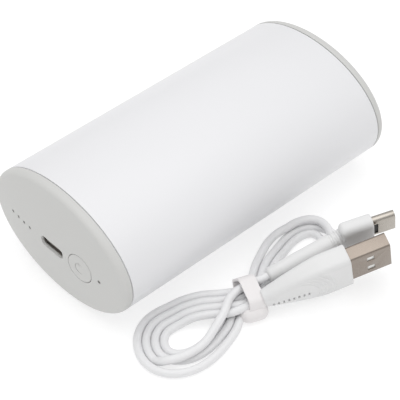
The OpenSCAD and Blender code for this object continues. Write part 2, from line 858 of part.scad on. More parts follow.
module usb_c_shell() {
    root_y = c_grip_len - c_shell_t + seat_gap;
    tip_y = c_grip_len + c_shell_len;
    color("silver") plug_at(c_start, c_yaw, c_pitch, plug_lean) difference() {
        plug_bar(c_shell_t, c_shell_w, c_shell_t / 2 - seat_gap, root_y, tip_y);
        plug_bar(c_shell_t - 2 * c_sheet, c_shell_w - 2 * c_sheet, c_shell_t / 2 - c_sheet - seat_gap,
            root_y + c_sheet, tip_y + cut);
        translate([0, c_grip_len + c_window[0] / 2 + seat_gap, 0])
            cube([c_shell_t + cut, c_window[0], c_window[1]], center = true);
    }
}

// Dark liner inside the small plug's shell, open in the middle for the socket's tongue
module usb_c_liner() {
    room = c_sheet + seat_gap;
    root_y = c_grip_len - c_shell_t + 2 * seat_gap + c_sheet;
    tip_y = c_grip_len + c_shell_len - room;
    color("black") plug_at(c_start, c_yaw, c_pitch, plug_lean) difference() {
        plug_bar(c_shell_t - 2 * room, c_shell_w - 2 * room, c_shell_t / 2 - room - seat_gap, root_y, tip_y);
        plug_bar(tongue_t + seat_gap, tongue_w, tongue_t / 4, root_y + room, tip_y + cut);
    }
}

barrel_shell();
front_cap();
rear_cap();
front_seal();
rear_seal();
power_button();
switch_plunger();
switch_body();
battery_light_guide();
status_light_guide();
battery_lights();
status_light();
usb_socket_shell();
usb_socket_tongue();
main_board();
control_chip();
power_inductor();
capacitors();
thermistor();
board_screws();
heater_film_upper();
heater_film_lower();
foam_pad_upper();
foam_pad_lower();
cradle_upper();
cradle_lower();
cell_left();
cell_right();
cell_link_front();
cell_link_rear();
battery_wires();
heater_wires();
thermal_fuse();
end_pad();
lead_cord();
cable_tie();
usb_a_grip();
usb_a_shell();
usb_a_insulator();
usb_a_contacts();
usb_c_grip();
usb_c_shell();
usb_c_liner();
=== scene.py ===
import math

import bmesh
import bpy
from mathutils import Matrix, Vector


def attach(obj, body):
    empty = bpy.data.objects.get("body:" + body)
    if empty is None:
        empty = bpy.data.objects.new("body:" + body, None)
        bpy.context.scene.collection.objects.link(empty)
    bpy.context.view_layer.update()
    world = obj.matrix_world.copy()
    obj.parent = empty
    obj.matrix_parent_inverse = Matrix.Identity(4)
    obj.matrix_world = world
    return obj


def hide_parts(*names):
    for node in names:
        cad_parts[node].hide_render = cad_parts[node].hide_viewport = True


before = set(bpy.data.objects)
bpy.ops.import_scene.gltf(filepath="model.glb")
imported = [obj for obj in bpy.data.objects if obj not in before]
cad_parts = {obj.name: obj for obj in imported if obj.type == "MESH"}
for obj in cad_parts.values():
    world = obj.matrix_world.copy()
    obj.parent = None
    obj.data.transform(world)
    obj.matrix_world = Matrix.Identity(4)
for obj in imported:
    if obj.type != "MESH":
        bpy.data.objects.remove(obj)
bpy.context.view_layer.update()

# Camera and studio: the photograph looks down on the button end from the front right, from about half a
# metre away. A white sky and one large soft lamp overhead give its even light, brightest on what faces up.
mm = 0.001
view_turn = math.radians(47.4)
view_rise = math.radians(43.9)
back = Vector((
    math.sin(view_turn) * math.cos(view_rise),
    -math.cos(view_turn) * math.cos(view_rise),
    math.sin(view_rise),
))
right = Vector((math.cos(view_turn), math.sin(view_turn), 0))
up = back.cross(right)
cap_middle = Vector((0, -47.15, 18.45))
lens_right, lens_up, lens_back = 36.5, 10.5, 448.3
lens_place = (cap_middle + lens_right * right + lens_up * up + lens_back * back) * mm
photo_width, focal_pixels, sensor = 400, 1647, 36

camera_data = bpy.data.cameras.new("camera")
camera_data.sensor_width = sensor
camera_data.lens = sensor * focal_pixels / photo_width
camera_data.clip_start = 10 * mm
camera = bpy.data.objects.new("camera", camera_data)
camera_turn = Matrix((right, up, back)).transposed()
camera.matrix_world = Matrix.Translation(lens_place) @ camera_turn.to_4x4()
bpy.context.collection.objects.link(camera)
bpy.context.scene.camera = camera
bpy.context.scene.view_settings.view_transform = "Standard"


def hex_colour(text):
    """Turns an sRGB hex value into the linear colour that Blender's sockets take."""
    channels = [int(text[k:k + 2], 16) / 255 for k in (1, 3, 5)]
    return [c / 12.92 if c <= 0.04045 else ((c + 0.055) / 1.055) ** 2.4 for c in channels] + [1]


def add_node(tree, kind, links=None, **settings):
    """Adds a node. Its links are sockets to join, and its settings are socket values or its own properties."""
    node = tree.nodes.new(kind)
    for name, value in settings.items():
        socket = next((s for s in node.inputs if s.name.replace(" ", "_") == name and s.enabled), None)
        if socket is None:
            setattr(node, name, value)
        else:
            socket.default_value = value
    for name, source in (links or {}).items():
        tree.links.new(source, node.inputs[name])
    return node


def plain_material(name, **settings):
    """A material with one shader, whose sockets take the values in settings."""
    material = bpy.data.materials.new(name)
    material.use_nodes = True
    shader = material.node_tree.nodes["Principled BSDF"]
    for key, value in settings.items():
        shader.inputs[key.replace("_", " ")].default_value = value
    return material, shader


# The sky is dimmest at the table and brightest overhead, so that sides are a little darker than tops.
sky_low, sky_high = 0.42, 1.12
world = bpy.data.worlds.new("studio")
bpy.context.scene.world = world
world.use_nodes = True
world_tree = world.node_tree
sky_side = add_node(world_tree, "ShaderNodeTexCoord").outputs["Generated"]
sky_rise = add_node(world_tree, "ShaderNodeSeparateXYZ", {"Vector": sky_side}).outputs["Z"]
sky_strength = add_node(
    world_tree, "ShaderNodeMapRange", {"Value": sky_rise}, To_Min=sky_low, To_Max=sky_high,
)
sky = world_tree.nodes["Background"]
sky.inputs["Color"].default_value = hex_colour("#FFFFFF")
world_tree.links.new(sky_strength.outputs["Result"], sky.inputs["Strength"])

# The table is a sheet of white paper that glows a little, so that the photograph's white ground comes out
# white with a soft shadow. It lies just under the object.
table_reach, table_drop, table_glow = 3, 0.2, 0.55
bpy.ops.object.select_all(action="DESELECT")
bpy.ops.mesh.primitive_plane_add(size=2 * table_reach, location=(0, 0, -table_drop * mm))
table = bpy.context.object
table.name = "table"
table_white, table_shader = plain_material("white_paper", Roughness=0.9, Specular_IOR_Level=0.2)
table_shader.inputs["Base Color"].default_value = hex_colour("#BCBCBC")
table_shader.inputs["Emission Color"].default_value = hex_colour("#FFFFFF")
table_shader.inputs["Emission Strength"].default_value = table_glow
table.data.materials.append(table_white)

# The soft lamp hangs high over the object, wide enough to leave no hard edge in the shadow.
lamp_place, lamp_width, lamp_watts = Vector((0.06, -0.05, 0.9)), 0.9, 2.6
lamp_data = bpy.data.lights.new("softbox", "AREA")
lamp_data.size = lamp_width
lamp_data.energy = lamp_watts
lamp = bpy.data.objects.new("softbox", lamp_data)
lamp_turn = lamp_place.to_track_quat("Z", "Y").to_matrix()
lamp.matrix_world = Matrix.Translation(lamp_place) @ lamp_turn.to_4x4()
bpy.context.collection.objects.link(lamp)

# Charging lead: 0.56 m of thin white round cord with a soft plastic jacket, folded into a figure of eight.
# Seven half turns cross at the tied middle, and each lies beside or on the one before, one pitch apart. A half
# turn goes from 0 to 180 degrees round its loop, and the first one comes from the small plug.
cord_d, cord_pitch, cord_rest = 2.4, 2.42, 1.1
lead_waist = Vector((39.3, -15.9, 0))
tie_t, tie_room = 0.7, 0.2
waist_lift = tie_t + tie_room
half_turns, loop_points, last_angle = 7, 24, 174

# Outermost run of the left and of the right loop: how far it reaches and swells, how full it is near the
# waist, and how it leans and bows to one side. At the waist it starts loop_slots pitches off the middle, and
# pinch_share keeps it narrow at first.
loop_reach, loop_swell, loop_belly = (35.1, 37.6), (17, 16.6), (0.42, 0.3)
loop_lean = ((9.5, -7.8), (0, 5.2))
loop_slots, pinch_share, angle_step = 1.5, 0.13, 0.5

# Each half turn lies so many pitches in from the outermost run at angle 0, and slides to its second place
# between two angles. The fourth slides once more, and is the outermost one then. Between the other pairs of
# angles a run drops or climbs by one layer, or gathers to the middle of the tie.
first_places = (1.6, 0, 0, 1, 1, 2, 2)
second_places = (1, 1, 0, 0.6, 2, 2, 3)
slides = ((46, 80), (72, 108), (10, 80), (70, 104), (10, 80), (72, 108), (10, 80))
start_drops, usual_climb, gather = ((16, 36), (68, 92)), (146, 166), (5, 17)
fourth_slide, fourth_climb = (132, 150), (44, 68)

# Where the plugs' tails lie, and where the plugs point: degrees off +Y, and degrees up.
large_tail, large_yaw, large_rise = Vector((44.85, -13.67, 6.44)), 24.9, 13.2
small_tail, boot_yaw, boot_rise = Vector((40.5, -9.55, 8.4)), 17.8, 14.2
small_yaw, small_rise, boot_len, plug_lean = 27, 10.5, 23.4, 14.5


def ease(low, high, x):
    """Goes smoothly from 0 at low to 1 at high."""
    share = min(max((x - low) / (high - low), 0), 1)
    return share * share * (3 - 2 * share)


def heading(yaw, rise):
    """Unit vector of a plug that points yaw degrees off +Y, and rise degrees up."""
    yaw, rise = math.radians(yaw), math.radians(rise)
    return Vector((math.sin(yaw) * math.cos(rise), math.cos(yaw) * math.cos(rise), math.sin(rise)))


def loop_point(turn, angle):
    """A point of the outermost run of a half turn: out from the waist, round the loop and back."""
    side = turn % 2
    c, s = math.cos(math.radians(angle)), math.sin(math.radians(angle))
    pinched = math.sqrt(s * s + pinch_share ** 2) - pinch_share
    out = loop_slots * cord_pitch + loop_swell[side] * pinched * (1 + loop_belly[side] * (1 - s * s))
    start, bow = loop_lean[side]
    return Vector((c * out - start * s - bow * s * s, loop_reach[side] * s))


def cord_point(turn, angle):
    """A point of the wound cord, which lies some runs in from the outermost one and some layers up."""
    left = turn % 2 == 0
    first, second = first_places[turn], second_places[turn]
    run_in = first + (second - first) * ease(*slides[turn], angle)
    layer = ease(*usual_climb, angle)
    if turn == 0:
        layer += len(start_drops) - sum(ease(*drop, angle) for drop in start_drops)
    elif turn == 3:
        run_in -= second * ease(*fourth_slide, angle)
        layer = ease(*fourth_climb, angle)
    ahead = loop_point(turn, angle + angle_step) - loop_point(turn, angle - angle_step)
    inward = Vector((-ahead.y, ahead.x)).normalized()
    place = loop_point(turn, angle) + run_in * cord_pitch * inward
    gathered = 1 - ease(*gather, min(angle, 180 - angle))
    place.x -= gathered * cord_pitch / 2 * math.cos(math.pi * layer)
    lift = waist_lift * gathered
    height = max(cord_rest + lift, cord_d / 2) + cord_pitch * layer
    return lead_waist + Vector((place.x, -place.y if left else place.y, height))


route = [small_tail, small_tail - cord_d * heading(boot_yaw, boot_rise)]
for turn in range(half_turns):
    for k in range(0 if turn == 0 else 1, loop_points + 1):
        angle = k / loop_points * (last_angle if turn == half_turns - 1 else 180)
        route.append(cord_point(turn, angle if turn % 2 == 0 else 180 - angle))
route += [large_tail - cord_d * heading(large_yaw, large_rise), large_tail]


def smooth_line(points, parts):
    """Points of a smooth line that passes through all the given ones, with parts steps between two."""
    line = []
    for k in range(len(points) - 1):
        before, start, end, after = (points[min(max(k + j, 0), len(points) - 1)] for j in (-1, 0, 1, 2))
        for part in range(parts):
            t = part / parts
            line.append(0.5 * (
                2 * start + (end - before) * t + (2 * before - 5 * start + 4 * end - after) * t ** 2
                + (3 * start - before - 3 * end + after) * t ** 3
            ))
    return line + [points[-1]]


cord_line = smooth_line(route, 4)
cord_curve = bpy.data.curves.new("lead_cord_jacket", "CURVE")
cord_curve.dimensions = "3D"
cord_curve.bevel_depth = cord_d / 2 * mm
cord_curve.bevel_resolution = 4
cord_curve.use_fill_caps = True
strand = cord_curve.splines.new("POLY")
strand.points.add(len(cord_line) - 1)
for point, place in zip(strand.points, cord_line):
    point.co = (*(place * mm), 1)
strand.use_smooth = True
cord = bpy.data.objects.new("lead_cord_jacket", cord_curve)
bpy.context.collection.objects.link(cord)


# Blender's noise hardly leaves this range, and the roughness shifts by as much each way on plastic and metal.
noise_low, noise_high = 0.3, 0.7
plastic_spread, metal_spread = 0.03, 0.05


def vary(tree, shader, pattern, colour, tone, roughness, spread):
    """Lets a pattern darken the colour by up to tone, and shift the roughness by up to spread each way."""
    bright = hex_colour(colour)
    tint = add_node(tree, "ShaderNodeMix", {"Factor": pattern}, data_type="RGBA")
    tint.inputs[6].default_value = [c * (1 - tone) for c in bright[:3]] + [1]
    tint.inputs[7].default_value = bright
    tree.links.new(tint.outputs[2], shader.inputs["Base Color"])
    gloss = add_node(
        tree, "ShaderNodeMapRange", {"Value": pattern}, From_Min=noise_low, From_Max=noise_high,
        To_Min=roughness - spread, To_Max=roughness + spread,
    )
    tree.links.new(gloss.outputs["Result"], shader.inputs["Roughness"])


def emboss(tree, shader, pattern, depth):
    """Raises the surface by a pattern, depth mm at most."""
    bump = add_node(tree, "ShaderNodeBump", {"Height": pattern}, Strength=1.0, Distance=depth * mm)
    tree.links.new(bump.outputs["Normal"], shader.inputs["Normal"])


cloud_size = 14


def moulded_material(name, colour, roughness, grain, depth, tone=0.03, coat=0.0):
    """Moulded or sprayed surface: grain is the size in mm of its fine texture, and depth is how deep it is.

    A wider, faint cloud shifts the tone and the gloss a little, as handled plastic and coatings show.
    """
    material, shader = plain_material(name, Roughness=roughness, Coat_Weight=coat)
    tree = material.node_tree
    place = add_node(tree, "ShaderNodeTexCoord").outputs["Object"]
    cloud = add_node(tree, "ShaderNodeTexNoise", {"Vector": place}, Scale=1 / (cloud_size * mm), Detail=3)
    vary(tree, shader, cloud.outputs["Fac"], colour, tone, roughness, plastic_spread)
    texture = add_node(tree, "ShaderNodeTexNoise", {"Vector": place}, Scale=1 / (grain * mm), Detail=2)
    emboss(tree, shader, texture.outputs["Fac"], depth)
    return material


# Soft PVC jacket, extruded: smooth, a little waxy, with a faint unevenness along its skin.
jacket_pvc = moulded_material("soft_pvc_extruded", "#E3E3E4", 0.42, 1.2, 0.02, tone=0.02)
cord_curve.materials.append(jacket_pvc)

# Tie: a flat strap of soft white plastic, pulled tight round the strands at the waist of the lead, so that
# it follows their pile. Its moulded end is a thick rounded bead that stands out low at the side.
tie_w, tie_slack, tie_round, tie_margin = 4.6, 0.1, 0.25, 0.4
tie_turn = math.radians(20.8)
tie_middle = Vector((39.4, -15.6, 0))
bead_r, bead_len, bead_out, bead_ahead = 2.6, 8.2, 5.2, -0.6


def only(obj):
    """Selects this object alone and makes it the active one."""
    bpy.ops.object.select_all(action="DESELECT")
    obj.select_set(True)
    bpy.context.view_layer.objects.active = obj


def pick(obj, kind, test):
    """In edit mode, selects the object's vertices, edges or faces (kind) that pass the test, and no others."""
    bpy.ops.mesh.select_mode(type={"verts": "VERT", "edges": "EDGE", "faces": "FACE"}[kind])
    bpy.ops.mesh.select_all(action="DESELECT")
    shape = bmesh.from_edit_mesh(obj.data)
    for element in getattr(shape, kind):
        if test(element):
            element.select_set(True)
    shape.select_flush_mode()
    bmesh.update_edit_mesh(obj.data)


def settle(obj, place=None):
    """Puts the object's place and turn into its mesh, so that it sits at the origin, unturned."""
    only(obj)
    if place is not None:
        obj.matrix_world = place @ obj.matrix_world
    bpy.ops.object.transform_apply(location=True, rotation=True, scale=True)


def apply_modifier(obj, kind, **settings):
    """Adds a modifier with these settings and applies it."""
    only(obj)
    bpy.ops.object.modifier_add(type=kind)
    modifier = obj.modifiers[-1]
    for name, value in settings.items():
        setattr(modifier, name, value)
    bpy.ops.object.modifier_apply(modifier=modifier.name)


def cut(obj, cutter, operation="DIFFERENCE"):
    """Cuts the cutter out of the object, or keeps what they share, and removes the cutter."""
    apply_modifier(obj, "BOOLEAN", object=cutter, operation=operation, solver="EXACT")
    bpy.data.objects.remove(cutter)


smooth_limit, rim_limit, along_share = math.radians(32), math.radians(50), 0.7


def dress(obj, name, material, body, *nodes):
    """Names and smooths a finished piece, and gives it its material, its body and the nodes it replaces."""
    only(obj)
    obj.name = obj.data.name = name
    bpy.ops.object.shade_smooth_by_angle(angle=smooth_limit)
    obj.data.materials.clear()
    obj.data.materials.append(material)
    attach(obj, body)
    if nodes:
        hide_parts(*nodes)


fine_ring, round_ring, small_ring = 192, 96, 48


def loft(stations, points=fine_ring, turn=0.0):
    """Rings drawn one out of the next along Y, each (half width, half height, y) in mm, closed at both ends."""
    a, b, y = stations[0]
    bpy.ops.object.select_all(action="DESELECT")
    bpy.ops.mesh.primitive_circle_add(vertices=points, radius=1, rotation=(0, 0, turn))
    ring = bpy.context.object
    bpy.ops.object.transform_apply(rotation=True)
    ring.rotation_euler = (math.radians(90), 0, 0)
    ring.scale = (a * mm, b * mm, 1)
    ring.location = (0, y * mm, 0)
    bpy.ops.object.transform_apply(location=True, rotation=True, scale=True)
    bpy.ops.object.mode_set(mode="EDIT")
    bpy.ops.mesh.select_mode(type="EDGE")
    bpy.ops.mesh.select_all(action="SELECT")
    for next_a, next_b, next_y in stations[1:]:
        bpy.ops.mesh.extrude_edges_move(TRANSFORM_OT_translate={"value": (0, (next_y - y) * mm, 0)})
        bpy.ops.transform.resize(value=(next_a / a, 1, next_b / b), center_override=(0, next_y * mm, 0))
        a, b, y = next_a, next_b, next_y
    bpy.ops.mesh.select_all(action="SELECT")
    bpy.ops.mesh.fill_holes(sides=0)
    bpy.ops.mesh.select_all(action="SELECT")
    bpy.ops.mesh.normals_make_consistent(inside=False)
    bpy.ops.object.mode_set(mode="OBJECT")
    return ring


def bevel_edges(obj, test, width, segments=2):
    """Rounds the object's edges that pass the test by this width in mm."""
    only(obj)
    bpy.ops.object.mode_set(mode="EDIT")
    pick(obj, "edges", test)
    bpy.ops.mesh.bevel(offset=width * mm, segments=segments, affect="EDGES", clamp_overlap=True)
    bpy.ops.object.mode_set(mode="OBJECT")


def runs_along(axis):
    """A test for edges that run along this axis (0, 1 or 2) for most of their length."""
    return lambda edge: abs((edge.verts[0].co - edge.verts[1].co)[axis]) > along_share * edge.calc_length()


def is_rim(edge):
    """A test for edges where the surface turns by more than rim_limit."""
    return len(edge.link_faces) == 2 and edge.calc_face_angle() > rim_limit


# A ring of four points, turned by 45 degrees, is a square whose points lie this much further out.
root_two = math.sqrt(2)
quarter = math.radians(45)


def square_bar(width, height, y_low, y_high, corner, segments=6):
    """Bar along Y with rounded corners."""
    bar = loft([(width / 2, height / 2, y_low), (width / 2, height / 2, y_high)], 4, quarter)
    only(bar)
    bar.scale = (root_two, 1, root_two)
    bpy.ops.object.transform_apply(scale=True)
    bevel_edges(bar, runs_along(1), corner, segments)
    return bar


def round_bar(x, z, radius, y_low, y_high, points=round_ring):
    """Round bar along Y, its middle line at x and z."""
    bar = loft([(radius, radius, y_low), (radius, radius, y_high)], points)
    settle(bar, Matrix.Translation(Vector((x, 0, z)) * mm))
    return bar


def pulled_round(circles, grow, y_low, y_high):
    """A bar along Y with the outline of a band pulled tight round circles (x, z, radius), grown by grow."""
    bars = [round_bar(x, z, radius + grow, y_low, y_high, small_ring) for x, z, radius in circles]
    only(bars[0])
    for bar in bars[1:]:
        bar.select_set(True)
    bpy.ops.object.join()
    hull = bpy.context.object
    bpy.ops.object.mode_set(mode="EDIT")
    bpy.ops.mesh.select_all(action="SELECT")
    bpy.ops.mesh.convex_hull()
    bpy.ops.mesh.select_all(action="SELECT")
    bpy.ops.mesh.normals_make_consistent(inside=False)
    bpy.ops.object.mode_set(mode="OBJECT")
    return hull


tie_place = Matrix.Translation(tie_middle * mm) @ Matrix.Rotation(-tie_turn, 4, "Z")
to_tie = Matrix.Rotation(tie_turn, 3, "Z")
held = [to_tie @ (place - tie_middle) for place in cord_line]
strands = [(place.x, place.z, cord_d / 2) for place in held if abs(place.y) < tie_w / 2 + tie_margin]
band = pulled_round(strands, tie_slack + tie_t, -tie_w / 2, tie_w / 2)
cut(band, pulled_round(strands, tie_slack, -tie_w, tie_w))
bevel_edges(band, is_rim, tie_round, 3)
bead_angles = [math.radians(a) for a in (-84, -72, -60, -48, -36, -24, -12, -1, 1, 12, 24, 36, 48, 60, 72, 84)]
bead_stations = []
for a in bead_angles:
    reach = bead_r * math.cos(a)
    bead_stations.append((reach, reach, math.copysign(bead_len / 2 - bead_r, a) + bead_r * math.sin(a)))
bead = loft(bead_stations, small_ring)
settle(bead, Matrix.Translation(Vector((bead_out, bead_ahead, bead_r)) * mm))
cut(band, bead, "UNION")
settle(band, tie_place)
# Soft PVC strap, moulded: matt and smooth, a touch warmer than the cord where it is thick.
tie_pvc = moulded_material("soft_pvc_moulded", "#E6E3E3", 0.5, 0.9, 0.015, tone=0.03)
dress(band, "tie_strap", tie_pvc, "charging_lead", "cable_tie")

# Large plug: a moulded grip that widens from a boot into a flat housing. Slots along each broad side let the
# boot bend, and four shallow ripples follow the boot's round end where it meets the housing.
large_grip_len = 23.8
large_shell_len = 11.7
large_tail_size = (4.5, 6.2)
large_size = (6.6, 15)
large_taper = 0.66 * large_grip_len
shell_sink = 4.5
slot_count, slot_step, slot_start = 8, 1.45, 0.75
slot_w, slot_len, slot_depth, slot_corner, slot_low, slot_fall = 0.55, 1.5, 0.5, 0.2, -1.55, 0.07
ripple_middle = (large_taper - 8.5, -1.9)
ripple_radii = (7.0, 8.4, 9.8, 11.2)
ripple_tool, ripple_depth, ripple_share = 0.8, 0.2, 0.1
ripple_points, tool_points = 128, 24


def plug_place(tail, yaw, rise, lean):
    """Where a plug lies: its own X is its thickness, Y runs to its tip and Z is its width."""
    return (
        Matrix.Translation(tail * mm) @ Matrix.Rotation(math.radians(-yaw), 4, "Z")
        @ Matrix.Rotation(math.radians(rise), 4, "X") @ Matrix.Rotation(math.radians(lean), 4, "Y")
    )


def half_thickness(y):
    """Half the large plug's thickness, at a distance from its tail."""
    return (large_tail_size[0] + (large_size[0] - large_tail_size[0]) * min(y / large_taper, 1)) / 2


def ripple(side, radius):
    """A round-bottomed groove on a broad side of the plug: the tip side of a ring laid along its taper."""
    near, far = half_thickness(ripple_middle[0]), half_thickness(ripple_middle[0] + radius)
    x = side * (near - ripple_depth + ripple_tool) * mm
    middle = Vector((x, ripple_middle[0] * mm, ripple_middle[1] * mm))
    bpy.ops.object.select_all(action="DESELECT")
    taper_turn = -side * math.asin((far - near) / radius)
    bpy.ops.mesh.primitive_torus_add(
        major_segments=ripple_points, minor_segments=tool_points, major_radius=radius * mm,
        minor_radius=ripple_tool * mm, location=middle, rotation=(0, math.radians(90), taper_turn),
    )
    groove = bpy.context.object
    bpy.ops.object.transform_apply(location=True, rotation=True)
    groove_start = middle.y + ripple_share * radius * mm
    bpy.ops.object.mode_set(mode="EDIT")
    bpy.ops.mesh.select_all(action="SELECT")
    bpy.ops.mesh.bisect(plane_co=(0, groove_start, 0), plane_no=(0, 1, 0), use_fill=True, clear_inner=True)
    bpy.ops.object.mode_set(mode="OBJECT")
    return groove


large_place = plug_place(large_tail, large_yaw, large_rise, plug_lean)
taper_steps = 20
sleeve, sleeve_size = 1.5, (4.2, 5.2)
grip_corner, grip_rim, grip_rim_y = 1.7, 0.35, 20
pocket_w, pocket_h, pocket_corner, overrun = 4.6, 12.1, 0.6, 1
grip_outline = [(*sleeve_size, -sleeve)]
for k in range(taper_steps + 1):
    s = k / taper_steps
    thickness = large_tail_size[0] + (large_size[0] - large_tail_size[0]) * s
    width = large_tail_size[1] + (large_size[1] - large_tail_size[1]) * s * (3 - s) / 2
    grip_outline.append((thickness, width, large_taper * s))
grip_outline.append((*large_size, large_grip_len))
large_grip = loft([(root_two / 2 * t, root_two / 2 * w, y) for t, w, y in grip_outline], 4, quarter)
bevel_edges(large_grip, runs_along(1), grip_corner, 6)
bevel_edges(large_grip, lambda e: is_rim(e) and min(v.co.y for v in e.verts) > grip_rim_y * mm, grip_rim)
for side in (-1, 1):
    for k in range(slot_count):
        y = slot_start + k * slot_step
        slot_place = Vector((side * half_thickness(y), y, slot_low - slot_fall * k))
        slot_cutter = square_bar(2 * slot_depth, slot_len, -slot_w / 2, slot_w / 2, slot_corner, 2)
        settle(slot_cutter, Matrix.Translation(slot_place * mm))
        cut(large_grip, slot_cutter)
    for radius in ripple_radii:
        cut(large_grip, ripple(side, radius))
cut(large_grip, square_bar(
    pocket_w, pocket_h, large_grip_len - shell_sink, large_grip_len + overrun, pocket_corner, 4,
))
settle(large_grip, large_place)
# Soft TPE, moulded: matt white with the bloom of a rubbery skin.
grip_tpe = moulded_material("soft_tpe_moulded", "#DEDEDE", 0.45, 0.8, 0.012, tone=0.02)
dress(large_grip, "large_plug_grip", grip_tpe, "charging_lead", "usb_a_grip")


mark_stretch = 0.06


def bare_metal(name, colour, roughness, grain, depth, tone):
    """Rolled or plated sheet metal: grain is the spacing in mm of its rolling marks, drawn along Y."""
    material, shader = plain_material(name, Metallic=1.0, Roughness=roughness)
    tree = material.node_tree
    place = add_node(tree, "ShaderNodeTexCoord").outputs["Object"]
    along = add_node(tree, "ShaderNodeMapping", {"Vector": place}, Scale=(1, mark_stretch, 1)).outputs["Vector"]
    marks = add_node(tree, "ShaderNodeTexNoise", {"Vector": along}, Scale=1 / (grain * mm), Detail=4)
    vary(tree, shader, marks.outputs["Fac"], colour, tone, roughness, metal_spread)
    emboss(tree, shader, marks.outputs["Fac"], depth)
    return material


# Its shell is steel sheet folded to a box, nickel plated, with two square windows in each broad side. A white
# block fills the half behind the windows that show, and carries four gold strips.
shell_size, shell_sheet, shell_corner, shell_break, shell_room = (4.5, 12), 0.35, 0.7, 0.07, 0.05
window_len, window_h, window_corner, window_step, window_y = 2.1, 2.3, 0.2, 2.6, 5.8


def sheet_tube(size, sheet, root, tip, corner, inner_corner, segments):
    """A tube of thin sheet along Y, closed at its root and open at its tip."""
    tube = square_bar(size[0], size[1], root, tip, corner, segments)
    cut(tube, square_bar(
        size[0] - 2 * sheet, size[1] - 2 * sheet, root + sheet, tip + overrun, inner_corner, segments,
    ))
    return tube


shell_root, shell_tip = large_grip_len - shell_sink + shell_room, large_grip_len + large_shell_len
large_shell = sheet_tube(
    shell_size, shell_sheet, shell_root, shell_tip, shell_corner, shell_corner - shell_sheet / 2, 8,
)
for z in (-window_step, window_step):
    window = square_bar(shell_size[0] + overrun, window_h, -window_len / 2, window_len / 2, window_corner, 3)
    settle(window, Matrix.Translation(Vector((0, large_grip_len + window_y, z)) * mm))
    cut(large_shell, window)
bevel_edges(large_shell, is_rim, shell_break)
settle(large_shell, large_place)
# Nickel plate over rolled steel: warm grey and fairly bright, with faint rolling marks.
plug_nickel = bare_metal("nickel_plated_steel", "#958B82", 0.3, 0.25, 0.002, 0.08)
dress(large_shell, "large_plug_shell", plug_nickel, "charging_lead", "usb_a_shell")


def paint_node(name, material):
    """Gives a piece that is kept from the CAD model its material."""
    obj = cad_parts[name]
    obj.data.materials.clear()
    obj.data.materials.append(material)


# Block in white PBT: plain and fairly glossy. Strips in bronze with a thin gold plate: warm and bright.
paint_node("usb_a_insulator", moulded_material("white_pbt_moulded", "#F1F1EE", 0.35, 0.6, 0.004, tone=0.02))
paint_node("usb_a_contacts", bare_metal("gold_plated_bronze", "#D9B25C", 0.22, 0.2, 0.001, 0.06))

# Small plug: a tapered boot, a grooved neck and a flat housing with a soft shoulder, moulded in one, round a
# drawn steel shell with rounded sides. The shell has a slot by the housing, and a dark liner inside. The slot
# is a painted reflection: through it the black liner shows as a dark patch on each broad side, standing in for
# a dark reflection on the shell there.
small_grip_len = 8.8
boot_tail_r, boot_r, neck_r, boot_round, boot_ring = 2.1, 2.4, 2.12, 0.9, 64
groove, neck_grooves = 0.633, 3
neck_len = 2 * neck_grooves * groove
small_size, small_corner, small_shoulder, small_rim = (4.6, 10), 2.0, 1.5, 0.35
small_pocket, small_pocket_len, small_round = (2.5, 8.35), 2.4, 1.15
boot_stations = [(0.9, 0), (1.4, 0.08), (1.8, 0.35), (boot_tail_r, boot_round)]
boot_stations += [
    (boot_tail_r + (boot_r - boot_tail_r) * s, boot_round + (boot_len - neck_len - boot_round) * s)
    for s in (0.2, 0.4, 0.6, 0.8, 1)
]
for k in range(neck_grooves):
    y = boot_len - neck_len + 2 * k * groove
    boot_stations += [
        (neck_r, y + 0.5 * groove), (neck_r, y + groove), (boot_r, y + 1.5 * groove), (boot_r, y + 2 * groove),
    ]
boot = loft([(r, r, y) for r, y in boot_stations], boot_ring)
settle(boot, plug_place(small_tail, boot_yaw, boot_rise, 0))
small_start = small_tail + boot_len * heading(boot_yaw, boot_rise)
small_place = plug_place(small_start, small_yaw, small_rise, plug_lean)
small_housing = square_bar(small_size[0], small_size[1], -groove, small_grip_len, small_corner, 8)
bevel_edges(small_housing, lambda e: is_rim(e) and max(v.co.y for v in e.verts) < 0, small_shoulder, 8)
bevel_edges(
    small_housing, lambda e: is_rim(e) and min(v.co.y for v in e.verts) > small_grip_len / 2 * mm, small_rim, 3,
)
cut(small_housing, square_bar(
    *small_pocket, small_grip_len - small_pocket_len, small_grip_len + overrun, small_round,
))
settle(small_housing, small_place)
cut(small_housing, boot, "UNION")
dress(small_housing, "small_plug_grip", grip_tpe, "charging_lead", "usb_c_grip")

small_shell_size, small_sheet, small_shell_len, small_sink = (2.4, 8.25), 0.3, 6.5, 2.35
painted_reflection_slot, small_inner_round, small_break = (1.4, 5.2), 0.85, 0.06
small_shell = sheet_tube(
    small_shell_size, small_sheet, small_grip_len - small_sink, small_grip_len + small_shell_len,
    small_round, small_inner_round, 10,
)
# Painted reflection: this slot through both broad sides shows the black liner as a dark patch by the housing.
slot_cutter = square_bar(
    small_shell_size[0] + overrun, painted_reflection_slot[1], shell_room, painted_reflection_slot[0] + shell_room, slot_corner, 3,
)
settle(slot_cutter, Matrix.Translation(Vector((0, small_grip_len, 0)) * mm))
cut(small_shell, slot_cutter)
bevel_edges(small_shell, is_rim, small_break)
settle(small_shell, small_place)
# Drawn stainless steel, tumbled: grey and fairly bright, with a soft sheen.
drawn_steel = bare_metal("drawn_stainless_steel", "#B0AAA2", 0.28, 0.25, 0.002, 0.07)
dress(small_shell, "small_plug_shell", drawn_steel, "charging_lead", "usb_c_shell")
# Liner in glass-filled nylon: matt black.
dark_nylon = moulded_material("glass_filled_nylon_black", "#1B1A19", 0.55, 0.3, 0.004, tone=0.15)
paint_node("usb_c_liner", dark_nylon)

